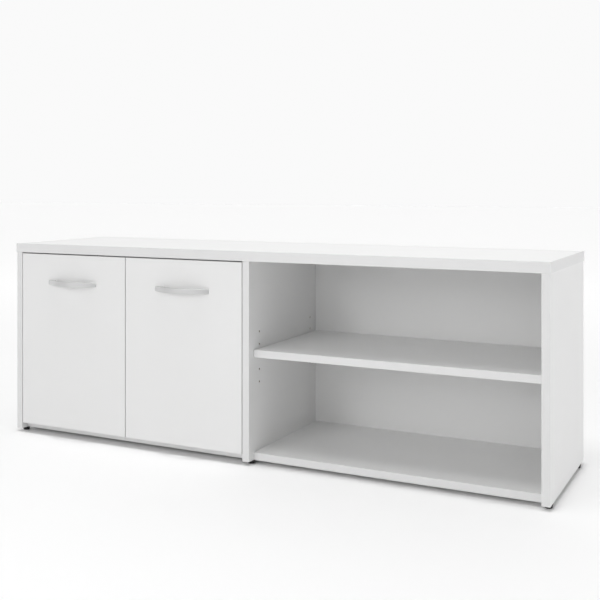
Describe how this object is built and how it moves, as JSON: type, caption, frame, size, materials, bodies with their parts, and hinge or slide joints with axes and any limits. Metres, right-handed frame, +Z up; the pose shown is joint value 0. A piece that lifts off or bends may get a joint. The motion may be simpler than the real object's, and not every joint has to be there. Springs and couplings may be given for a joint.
{
  "type": "office credenza",
  "caption": "Low office storage cupboard with two hinged doors beside an open bay with a shelf, on levelling feet.",
  "frame": {"origin": "on the floor, under the middle of the whole piece with its handles", "axes": "+X to the right along the width, -Y out of the front, +Z up"},
  "size_m": [1.51, 0.4264, 0.538],
  "materials": {
    "white_board": "fine-grained matt white melamine",
    "back_board": "smooth matt white",
    "white_edging": "matt white",
    "satin_silver": "satin silver-grey lacquer on a casting",
    "plated_steel": "bright nickel plating",
    "white_nylon": "milky white nylon",
    "zinc_casting": "raw zinc casting",
    "black_plastic": "matt black moulding",
    "beech": "raw turned beech"
  },
  "bodies": {
    "cabinet": {"bottom_cam_bolts": "plated_steel", "bottom_cam_locks": "zinc_casting", "bottom_edge_bands": "white_edging", "centre_panel": "white_board", "foot_inserts": "zinc_casting", "left_arm_pins": "plated_steel", "left_arm_screws": "plated_steel", "left_back_panel": "back_board", "left_bottom_panel": "white_board", "left_end_panel": "white_board", "left_hinge_arms": "plated_steel", "left_hinge_plates": "plated_steel", "left_plate_screws": "plated_steel", "left_shelf": "white_board", "left_shelf_pins": "white_nylon", "right_arm_pins": "plated_steel", "right_arm_screws": "plated_steel", "right_back_panel": "back_board", "right_bottom_panel": "white_board", "right_end_panel": "white_board", "right_hinge_arms": "plated_steel", "right_hinge_plates": "plated_steel", "right_plate_screws": "plated_steel", "right_shelf": "white_board", "right_shelf_pins": "white_nylon", "shelf_edge_bands": "white_edging", "top_cam_bolts": "plated_steel", "top_cam_locks": "zinc_casting", "top_edge_bands": "white_edging", "top_panel": "white_board", "upright_edge_bands": "white_edging", "wooden_dowels": "beech"},
    "left_door": {"left_door": "white_board", "left_door_edge_bands": "white_edging", "left_handle": "satin_silver", "left_handle_screws": "plated_steel", "left_hinge_cups": "plated_steel", "left_cup_pins": "plated_steel", "left_cup_screws": "plated_steel"},
    "left_front_lever": {"left_front_levers": "plated_steel"},
    "left_rear_lever": {"left_rear_levers": "plated_steel"},
    "left_link": {"left_hinge_links": "plated_steel"},
    "right_door": {"right_door": "white_board", "right_door_edge_bands": "white_edging", "right_handle": "satin_silver", "right_handle_screws": "plated_steel", "right_hinge_cups": "plated_steel", "right_cup_pins": "plated_steel", "right_cup_screws": "plated_steel"},
    "right_front_lever": {"right_front_levers": "plated_steel"},
    "right_rear_lever": {"right_rear_levers": "plated_steel"},
    "right_link": {"right_hinge_links": "plated_steel"},
    "left_front_foot": {"left_front_foot": "black_plastic"},
    "left_rear_foot": {"left_rear_foot": "black_plastic"},
    "centre_front_foot": {"centre_front_foot": "black_plastic"},
    "centre_rear_foot": {"centre_rear_foot": "black_plastic"},
    "right_front_foot": {"right_front_foot": "black_plastic"},
    "right_rear_foot": {"right_rear_foot": "black_plastic"}
  },
  "joints": [
    {"name": "left_door_hinge", "type": "hinge", "parent": "cabinet", "child": "left_door", "pos_m": [-0.733, -0.18525, 0.2681], "axis": [0, 0, -1], "range_deg": [0, 95]},
    {"name": "left_front_lever_pivot", "type": "hinge", "parent": "cabinet", "child": "left_front_lever", "pos_m": [-0.717, -0.15525, 0.2681], "axis": [0, 0, -1], "range_deg": [0, 95]},
    {"name": "left_rear_lever_pivot", "type": "hinge", "parent": "cabinet", "child": "left_rear_lever", "pos_m": [-0.71023, -0.14255, 0.2681], "axis": [0, 0, -1], "range_deg": [0, 95]},
    {"name": "left_link_pivot", "type": "hinge", "parent": "left_front_lever", "child": "left_link", "pos_m": [-0.6935, -0.13875, 0.2681], "axis": [0, 0, 1], "range_deg": [0, 95]},
    {"name": "right_door_hinge", "type": "hinge", "parent": "cabinet", "child": "right_door", "pos_m": [-0.0105, -0.18525, 0.2681], "axis": [0, 0, 1], "range_deg": [0, 95]},
    {"name": "right_front_lever_pivot", "type": "hinge", "parent": "cabinet", "child": "right_front_lever", "pos_m": [-0.0265, -0.15525, 0.2681], "axis": [0, 0, 1], "range_deg": [0, 95]},
    {"name": "right_rear_lever_pivot", "type": "hinge", "parent": "cabinet", "child": "right_rear_lever", "pos_m": [-0.03327, -0.14255, 0.2681], "axis": [0, 0, 1], "range_deg": [0, 95]},
    {"name": "right_link_pivot", "type": "hinge", "parent": "right_front_lever", "child": "right_link", "pos_m": [-0.05, -0.13875, 0.2681], "axis": [0, 0, -1], "range_deg": [0, 95]},
    {"name": "left_front_foot_screw", "type": "slide", "parent": "cabinet", "child": "left_front_foot", "axis": [0, 0, -1], "range_m": [0, 0.01]},
    {"name": "left_rear_foot_screw", "type": "slide", "parent": "cabinet", "child": "left_rear_foot", "axis": [0, 0, -1], "range_m": [0, 0.01]},
    {"name": "centre_front_foot_screw", "type": "slide", "parent": "cabinet", "child": "centre_front_foot", "axis": [0, 0, -1], "range_m": [0, 0.01]},
    {"name": "centre_rear_foot_screw", "type": "slide", "parent": "cabinet", "child": "centre_rear_foot", "axis": [0, 0, -1], "range_m": [0, 0.01]},
    {"name": "right_front_foot_screw", "type": "slide", "parent": "cabinet", "child": "right_front_foot", "axis": [0, 0, -1], "range_m": [0, 0.01]},
    {"name": "right_rear_foot_screw", "type": "slide", "parent": "cabinet", "child": "right_rear_foot", "axis": [0, 0, -1], "range_m": [0, 0.01]}
  ],
  "couplings": [
    {"joint": "left_front_lever_pivot", "follows": "left_door_hinge", "ratio": 1},
    {"joint": "left_rear_lever_pivot", "follows": "left_door_hinge", "ratio": 1},
    {"joint": "left_link_pivot", "follows": "left_door_hinge", "ratio": 1},
    {"joint": "right_front_lever_pivot", "follows": "right_door_hinge", "ratio": 1},
    {"joint": "right_rear_lever_pivot", "follows": "right_door_hinge", "ratio": 1},
    {"joint": "right_link_pivot", "follows": "right_door_hinge", "ratio": 1}
  ]
}
